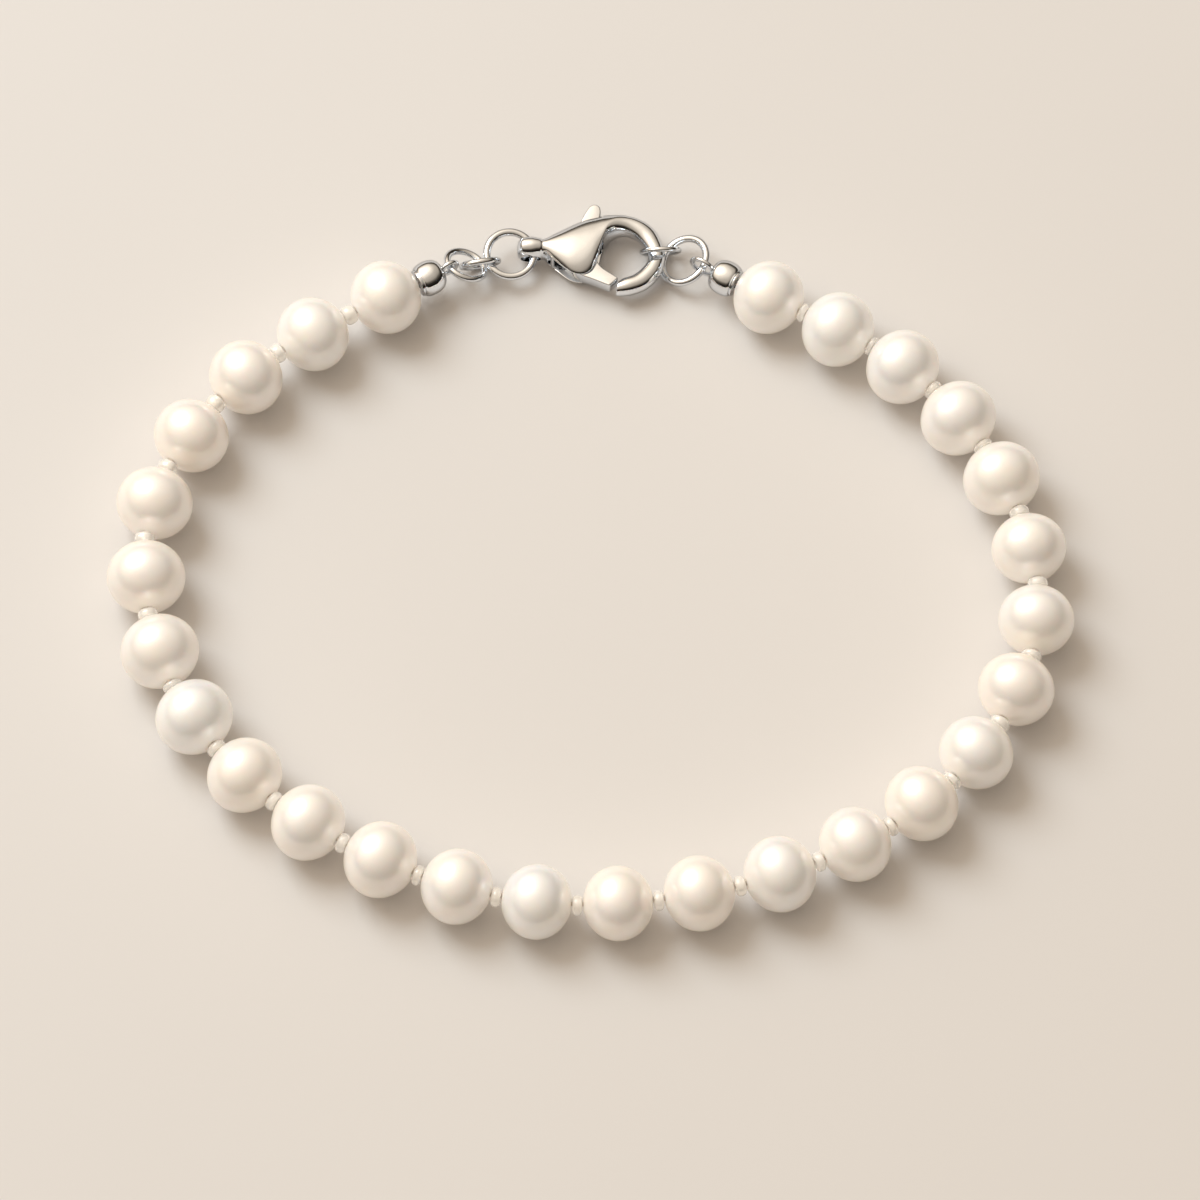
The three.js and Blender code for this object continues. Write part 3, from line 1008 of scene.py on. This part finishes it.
@dataclass
class EndBead:
    """A polished round bead that closes one end of the string, with its wire eye."""

    name: str
    heading: float
    eye_radius: float
    eye_wire: float = 0.36
    eye_sunk: float = 0.1
    diameter: float = 2.55
    length: float = 2.1
    mouth: float = 1.8
    mouth_rim: float = 0.05
    lip: float = 0.12
    bore: float = 0.8
    bore_depth: float = 1.3
    sides: int = 72

    # The dome from the lip to the eye: its radius and its height, as shares of the bead's own
    DOME = ((0.86, 0.09), (0.95, 0.2), (1.0, 0.42), (0.97, 0.63), (0.82, 0.84), (0.5, 0.97), (0.0, 1.0))
    # The lip: how far inside its edge each point lies, and how high, in millimetres
    LIP = ((0.02, 0.03), (0.0, 0.08), (0.0, 0.13), (0.02, 0.17))

    @classmethod
    def left(cls) -> "EndBead":
        """The bead on the left of the clasp."""
        return cls("left_end_bead", heading=30.0, eye_radius=0.62)

    @classmethod
    def right(cls) -> "EndBead":
        """The bead on the right of the clasp."""
        return cls("right_end_bead", heading=150.0, eye_radius=0.86)

    def along(self) -> Vector:
        """The way that the eye looks."""
        angle = math.radians(self.heading)
        return Vector((math.cos(angle), math.sin(angle), 0.0))

    def middle(self) -> Vector:
        """Finds the bead's middle from its solid: half a length up from its flat mouth.

        Returns:
            The middle, in metres.
        """
        points = node_points(self.name)
        along = np.array(self.along())
        side = np.array((along[1], -along[0], 0.0))
        reach = points @ along
        mouth = points[reach < reach.min() + self.mouth_rim * MM]
        low, high = mouth.min(0), mouth.max(0)
        across = mouth @ side
        height = (low[2] + high[2]) / 2
        sideways = (across.min() + across.max()) / 2
        middle = along * (reach.min() + self.length * MM / 2) + side * sideways
        return Vector((middle[0], middle[1], height))

    def bead(self) -> bpy.types.Mesh:
        """Turns the bead along Y, with its mouth at the bottom.

        Returns:
            The mesh, in millimetres.
        """
        radius, bottom = self.diameter / 2, -self.length / 2
        mouth, bore = self.mouth / 2, self.bore / 2
        edge = mouth + self.lip
        curve = smoothed([(radius * wide, bottom + self.length * high) for wide, high in self.DOME], 8)
        curve[-1][0] = 0.0
        profile = [
            (0.0, bottom + self.bore_depth),
            (bore, bottom + self.bore_depth),
            (bore, bottom + self.mouth_rim),
            (bore + self.mouth_rim, bottom),
            (mouth, bottom),
            *((edge - inset, bottom + rise) for inset, rise in self.LIP),
            *map(tuple, curve[1:]),
        ]
        return lathe(self.name, profile, self.sides)

    def build(self, steel: bpy.types.Material) -> None:
        """Builds and dresses the bead and its eye.

        Args:
            steel: the material.
        """
        eye = RingTree().ring("eye", self.eye_radius, self.eye_wire, CLOSED_CUT, steel)
        rise = self.length / 2 + self.eye_radius - self.eye_sunk
        eye.transform(Matrix.Translation((0, rise, 0)) @ Matrix.Rotation(math.pi / 2, 4, "Y"))
        mesh = Bench.together(self.name, [self.bead(), eye])
        along = self.along()
        side = along.cross(UP)
        place = Matrix((side, along, UP)).transposed().to_4x4() @ Matrix.Scale(MM, 4)
        mesh.transform(Matrix.Translation(self.middle()) @ place)
        Bench.finish(self.name, mesh, steel, Slot.STEEL, [self.name], crease=35.0)


@dataclass
class Link:
    """A wire ring or link of the chains on both sides of the clasp."""

    name: str
    radius: float
    wire: float
    cut_heading: float
    cut_share: float = 0.0012

    def placed(self) -> Matrix:
        """Where the link lies, from its solid.

        Returns:
            The place and turn of a ring round Z, with its cut on the side of the cut heading.
        """
        points = node_points(self.name)
        middle = points.mean(0)
        normal = Vector(np.linalg.svd(points - middle)[2][2])
        if normal.z < 0:
            normal = -normal
        angle = math.radians(self.cut_heading)
        cut = Vector((math.cos(angle), math.sin(angle), 0.0))
        cut = (cut - normal * cut.dot(normal)).normalized()
        turn = Matrix((cut, normal.cross(cut), normal)).transposed().to_4x4()
        return Matrix.Translation(Vector(middle)) @ turn @ Matrix.Scale(MM, 4)

    def build(self, steel: bpy.types.Material) -> None:
        """Builds and dresses the link.

        Args:
            steel: the material.
        """
        mesh = RingTree().ring(self.name, self.radius, self.wire, self.cut_share, steel)
        mesh.transform(self.placed())
        Bench.finish(self.name, mesh, steel, Slot.STEEL, [self.name])


@dataclass
class Clasp:
    """The lobster clasp: a hollow body with a hook, and the lever that closes it."""

    length: float = 10.6
    width: float = 6.5
    thickness: float = 2.8
    slot: float = 1.3
    squareness: float = 2.05
    around: int = 48
    finer: int = 6
    tail_bulge: float = 0.12
    tip_bulge: float = 0.06
    edge_bevel: float = 0.05
    bevel_above: float = 42.0
    crease: float = 32.0
    reach: float = 5.0
    hole_height: float = 4.0
    eye_hole: tuple = (1.46, 1.04)
    eye_hole_drop: float = 0.18
    pivot_radius: float = 0.4
    pivot_share: float = 0.9
    neck_pin_radius: float = 0.14
    neck_pin_sunk: float = 0.15
    lever_clearance: float = 0.1
    lever_bevel: float = 0.12
    outline_passes: int = 3
    hub_radius: float = 1.02
    pivot: tuple = (0.353, -0.143)
    neck_pin: tuple = (0.15, -0.15)
    slot_start: float = 0.113
    slot_back: float = 0.5
    slot_front: float = 0.53
    slot_step: float = 0.015

    # Outer edge, inner edge and thickness of the body from its tail to the tip of its hook,
    # as shares of the length, the width and the thickness
    SECTIONS = (
        (-0.082, 0.088, -0.082, -0.088, 0.5),
        (-0.056, 0.12, -0.056, -0.12, 0.74),
        (0.008, 0.13, 0.008, -0.13, 0.82),
        (0.063, 0.112, 0.063, -0.115, 0.76),
        (0.086, 0.1, 0.09, -0.11, 0.7),
        (0.153, 0.163, 0.153, -0.214, 0.84),
        (0.228, 0.234, 0.215, -0.309, 0.95),
        (0.304, 0.305, 0.277, -0.386, 1.0),
        (0.38, 0.363, 0.35, -0.415, 1.0),
        (0.449, 0.395, 0.413, -0.372, 0.98),
        (0.504, 0.414, 0.451, -0.264, 0.94),
        (0.553, 0.42, 0.467, -0.143, 0.9),
        (0.593, 0.42, 0.48, -0.022, 0.84),
        (0.635, 0.418, 0.518, 0.086, 0.76),
        (0.683, 0.4, 0.573, 0.163, 0.68),
        (0.739, 0.369, 0.635, 0.189, 0.62),
        (0.808, 0.305, 0.697, 0.157, 0.57),
        (0.869, 0.195, 0.752, 0.08, 0.5),
        (0.915, 0.0, 0.802, -0.055, 0.46),
        (0.925, -0.135, 0.8, -0.17, 0.46),
        (0.892, -0.322, 0.751, -0.277, 0.5),
        (0.806, -0.488, 0.696, -0.348, 0.52),
        (0.696, -0.568, 0.634, -0.386, 0.53),
        (0.588, -0.583, 0.606, -0.422, 0.44),
    )
    # How far the rings that round off an end have turned in, in degrees
    END_ANGLES = (25, 45, 62, 76, 85)
    # The lever's outline beside its pivot, in the same shares of length and width
    LEVER_OUTLINE = (
        (-0.096, 0.02),
        (-0.03, 0.38),
        (0.0, 0.5),
        (0.03, 0.6),
        (0.055, 0.66),
        (0.09, 0.684),
        (0.122, 0.655),
        (0.132, 0.59),
        (0.123, 0.5),
        (0.088, 0.2),
        (0.094, -0.08),
        (0.234, -0.24),
        (0.25, -0.258),
        (0.24, -0.282),
        (0.202, -0.344),
        (0.188, -0.362),
        (0.166, -0.348),
        (0.07, -0.278),
        (0.0, -0.235),
        (-0.062, -0.17),
    )

    def pivot_place(self) -> Vector:
        """The lever's pivot, in metres."""
        return Vector(frame["joints"][0]["pos_m"])

    def spot(self, shares: Sequence) -> Vector:
        """Where a share of the length and a share of the width lie, in the clasp's millimetres."""
        return Vector((shares[0] * self.length, shares[1] * self.width, 0.0))

    def placed(self) -> Matrix:
        """From the clasp's own millimetres to the bracelet's metres."""
        return Matrix.Translation(self.pivot_place() - self.spot(self.pivot) * MM) @ Matrix.Scale(MM, 4)

    def section(self, row: Sequence, shrink: float = 1.0, shift: Sequence = (0.0, 0.0, 0.0)) -> np.ndarray:
        """One rounded cross section of the body.

        Args:
            row: a row of the table of sections.
            shrink: how much smaller the section is than its row.
            shift: how far it is moved, in millimetres.

        Returns:
            The section's points.
        """
        outer = np.array((row[0] * self.length, row[1] * self.width, 0.0))
        inner = np.array((row[2] * self.length, row[3] * self.width, 0.0))
        middle, reach = (outer + inner) / 2, (outer - inner) / 2
        height = row[4] * self.thickness / 2
        points = []
        for i in range(self.around):
            angle = 2 * math.pi * (i + 0.5) / self.around
            across = math.copysign(abs(math.cos(angle)) ** (2 / self.squareness), math.cos(angle))
            rise = math.copysign(abs(math.sin(angle)) ** (2 / self.squareness), math.sin(angle))
            offset = reach * across + np.array((0.0, 0.0, rise * height))
            points.append(middle + offset * shrink + np.array(shift))
        return np.array(points)

    def rounded_end(self, row: Sequence, way: Sequence, depth: float) -> list[np.ndarray]:
        """The shrinking rings that round off an end of the body.

        Args:
            row: the end's section.
            way: the direction out of the body.
            depth: how far the end bulges, in millimetres.

        Returns:
            The rings, from the body outward.
        """
        rings = []
        for angle in self.END_ANGLES:
            turn = math.radians(angle)
            rings.append(self.section(row, math.cos(turn), np.array(way) * depth * math.sin(turn)))
        return rings

    def body(self) -> bpy.types.Mesh:
        """Makes the body with its slot and its tail hole.

        Returns:
            The mesh, in millimetres.
        """
        rows = smoothed(self.SECTIONS, self.finer)
        rings = [self.section(row) for row in rows]
        tail = self.rounded_end(rows[0], (-1.0, 0.0, 0.0), self.tail_bulge)[::-1]
        tip = self.rounded_end(rows[-1], (-1.0, 0.12, 0.0), self.tip_bulge)
        shell = skin("clasp_body", np.array(tail + rings + tip))
        shell = Bench.combined(shell, self.hollow(), Joining.CUTS)
        half, end = 0.5, self.reach
        hole = lathe("hole", [(0.0, -end), (half, -end), (half, end), (0.0, end)], self.around)
        wide = Matrix.Diagonal((self.eye_hole[0], 1.0, self.eye_hole[1], 1.0))
        hole.transform(Matrix.Translation((0.0, 0.0, -self.eye_hole_drop)) @ wide)
        return Bench.combined(shell, hole, Joining.CUTS)

    def hollow(self) -> bpy.types.Mesh:
        """Makes what the slot takes out of the body.

        Returns:
            The mesh, in millimetres.
        """
        corners = [
            (self.slot_start, -1.0),
            (self.slot_front, -1.0),
            (self.slot_front, self.slot_step),
            (self.slot_back, self.slot_step),
            (self.slot_back, 1.0),
            (self.slot_start, 1.0),
        ]
        flat = [(x * self.length, y * self.width) for x, y in corners]
        rings = [[(x, y, z) for x, y in flat] for z in (-self.slot / 2, self.slot / 2)]
        return skin("hollow", np.array(rings))

    def pins(self) -> list[bpy.types.Mesh]:
        """Makes the lever's pivot and the pin that holds its spring.

        Returns:
            The two meshes, in millimetres.
        """
        tall, short = self.thickness * self.pivot_share, self.slot + 2 * self.neck_pin_sunk
        return [
            standing("pivot", self.pivot_radius, tall, self.spot(self.pivot)),
            standing("neck_pin", self.neck_pin_radius, short, self.spot(self.neck_pin)),
        ]

    def lever(self) -> bpy.types.Mesh:
        """Makes the lever round its pivot.

        Returns:
            The mesh, in the clasp's millimetres.
        """
        px, py = self.pivot[0] * self.length, self.pivot[1] * self.width
        corners = [(x * self.length, y * self.width) for x, y in self.LEVER_OUTLINE]
        outline = rounded(corners, self.outline_passes)
        thickness = self.slot - 2 * self.lever_clearance
        curve = bpy.data.curves.new("lever", "CURVE")
        curve.dimensions = "2D"
        curve.fill_mode = "BOTH"
        curve.extrude = thickness / 2 - self.lever_bevel
        curve.bevel_depth = self.lever_bevel
        curve.bevel_resolution = 3
        curve.offset = -self.lever_bevel
        line = curve.splines.new("POLY")
        line.points.add(len(outline) - 1)
        for point, (x, y) in zip(line.points, outline):
            point.co = (x + px, y + py, 0.0, 1.0)
        line.use_cyclic_u = True
        arm = Bench.settled(Bench.show("lever", curve), "clasp_lever")
        welded(arm, 1e-5)
        hub = standing("hub", self.hub_radius, thickness, (px, py, 0.0))
        arm = Bench.combined(arm, hub, Joining.ADDS)
        hole_radius = self.pivot_radius + self.lever_clearance
        hole = standing("hole", hole_radius, self.hole_height, (px, py, 0.0))
        return Bench.combined(arm, hole, Joining.CUTS)

    def softened(self, mesh: bpy.types.Mesh) -> bpy.types.Mesh:
        """Takes the sharpness off the cut edges of a mesh.

        Args:
            mesh: the mesh, in millimetres.

        Returns:
            The same mesh.
        """
        shell = bmesh.new()
        shell.from_mesh(mesh)
        bmesh.ops.remove_doubles(shell, verts=shell.verts, dist=0.02)
        bmesh.ops.dissolve_degenerate(shell, edges=shell.edges, dist=0.01)
        limit = math.radians(self.bevel_above)
        bmesh.ops.bevel(
            shell,
            geom=[e for e in shell.edges if e.is_manifold and e.calc_face_angle() > limit],
            offset=self.edge_bevel,
            offset_type="OFFSET",
            segments=2,
            profile=0.5,
            affect="EDGES",
            clamp_overlap=False,
        )
        shell.to_mesh(mesh)
        shell.free()
        return mesh

    def build(self, steel: bpy.types.Material) -> None:
        """Builds and dresses the body and the lever.

        Args:
            steel: the material.
        """
        body = Bench.together("clasp_body", [self.softened(self.body()), *self.pins()])
        parts = (("clasp_body", body, Body.BRACELET), ("clasp_lever", self.lever(), Body.LEVER))
        for name, mesh, rider in parts:
            mesh.transform(self.placed())
            Bench.finish(name, mesh, steel, Slot.STEEL, [name], rider, self.crease)


@dataclass
class Studio:
    """The table, the camera and the soft light. Lengths are in metres here."""

    camera_place: tuple = (0.000717, -0.220892, 0.44905)
    camera_elevation: float = 64.0
    lens: float = 210.0
    table_width: float = 3.0
    window_place: tuple = (-0.26, 0.22, 0.42)
    window_size: float = 0.34
    window_power: float = 1.68
    window_colour: tuple = (0.82, 0.93, 1.0)
    bright_side: tuple = (-0.5, 0.4, 0.768)
    room_strength: float = 1.25
    # How much a direction's height, depth and leftward lean brighten the room there
    lean: tuple = (0.88, 0.14, 0.12)

    # The room's colours from the horizon up
    ROOM = (
        (0.0, (0.035, 0.026, 0.02)),
        (0.18, (0.06, 0.047, 0.036)),
        (0.34, (0.30, 0.243, 0.183)),
        (0.48, (0.87, 0.73, 0.575)),
        (1.0, (1.0, 0.86, 0.695)),
    )
    # The room's brightness, by how nearly a direction looks to the bright side
    BRIGHTNESS = ((0.0, 0.3), (0.55, 0.55), (0.8, 0.95), (0.97, 1.6))

    def table(self) -> None:
        """Lays the table top."""
        half = self.table_width / 2
        corners = [(-half, -half, 0.0), (half, -half, 0.0), (half, half, 0.0), (-half, half, 0.0)]
        mesh = bpy.data.meshes.new("table")
        mesh.from_pydata(corners, [], [(0, 1, 2, 3)])
        mesh.materials.append(PaleTable().material())
        Bench.show("table", mesh)

    def camera(self) -> None:
        """Sets up the camera."""
        data = bpy.data.cameras.new("camera")
        data.lens = self.lens
        data.sensor_width = 36.0
        data.clip_start = 0.01
        shown = Bench.show("camera", data)
        shown.location = self.camera_place
        shown.rotation_euler = (math.radians(90.0 - self.camera_elevation), 0.0, 0.0)
        bpy.context.scene.camera = shown

    def light(self) -> None:
        """Hangs a round soft light that looks at the bracelet."""
        data = bpy.data.lights.new("window", "AREA")
        data.shape = "DISK"
        data.size = self.window_size
        data.energy = self.window_power
        data.color = self.window_colour
        shown = Bench.show("window", data)
        shown.location = self.window_place
        shown.rotation_euler = Vector(self.window_place).to_track_quat("Z", "Y").to_euler()

    def surroundings(self) -> None:
        """The room round the table: a bright ceiling, warm walls, and a dimmer side."""
        world = bpy.data.worlds.new("room")
        world.use_nodes = True
        world.node_tree.nodes.clear()
        sheet = NodeSheet(world.node_tree)
        way = sheet.signal("ShaderNodeTexCoord", output="Generated")
        split = sheet.node("ShaderNodeSeparateXYZ", values={0: way})
        height = Signal(sheet, split.outputs["Z"])
        depth = Signal(sheet, split.outputs["Y"])
        sideways = Signal(sheet, split.outputs["X"])
        lean = height * self.lean[0] + depth * self.lean[1] - sideways * self.lean[2]
        ramp = sheet.signal("ShaderNodeValToRGB", {"stops": self.ROOM}, {"Fac": lean})
        values = {0: way, 1: self.bright_side}
        towards = sheet.signal("ShaderNodeVectorMath", {"operation": "DOT_PRODUCT"}, values, "Value")
        levels = [(place, (level, level, level)) for place, level in self.BRIGHTNESS]
        glow = sheet.signal("ShaderNodeValToRGB", {"stops": levels}, {"Fac": towards})
        strength = glow * self.room_strength
        background = sheet.signal("ShaderNodeBackground", values={"Color": ramp, "Strength": strength})
        sheet.node("ShaderNodeOutputWorld", values={"Surface": background})
        bpy.context.scene.world = world

    def build(self) -> None:
        """Sets up everything round the bracelet."""
        self.table()
        self.camera()
        self.light()
        self.surroundings()
        view = bpy.context.scene.view_settings
        view.view_transform = "Standard"
        view.look = "None"
        view.exposure = 0.0


def main() -> None:
    """Builds the bracelet and its surroundings."""
    logging.basicConfig(level=logging.INFO, format="%(name)s: %(message)s")
    steel = PolishedSteel().material("polished_steel")
    PearlString().build()
    EndBead.left().build(steel)
    EndBead.right().build(steel)
    for link in (
        Link("left_ring", radius=1.45, wire=0.49, cut_heading=200.0),
        Link("left_link", radius=1.32, wire=0.48, cut_heading=10.0, cut_share=CLOSED_CUT),
        Link("clasp_ring", radius=1.72, wire=0.57, cut_heading=17.0),
        Link("hook_link", radius=1.35, wire=0.38, cut_heading=3.0, cut_share=CLOSED_CUT),
        Link("right_ring", radius=1.78, wire=0.55, cut_heading=165.0),
    ):
        link.build(steel)
    Clasp().build(steel)
    Studio().build()


if __name__ == "__main__":
    main()
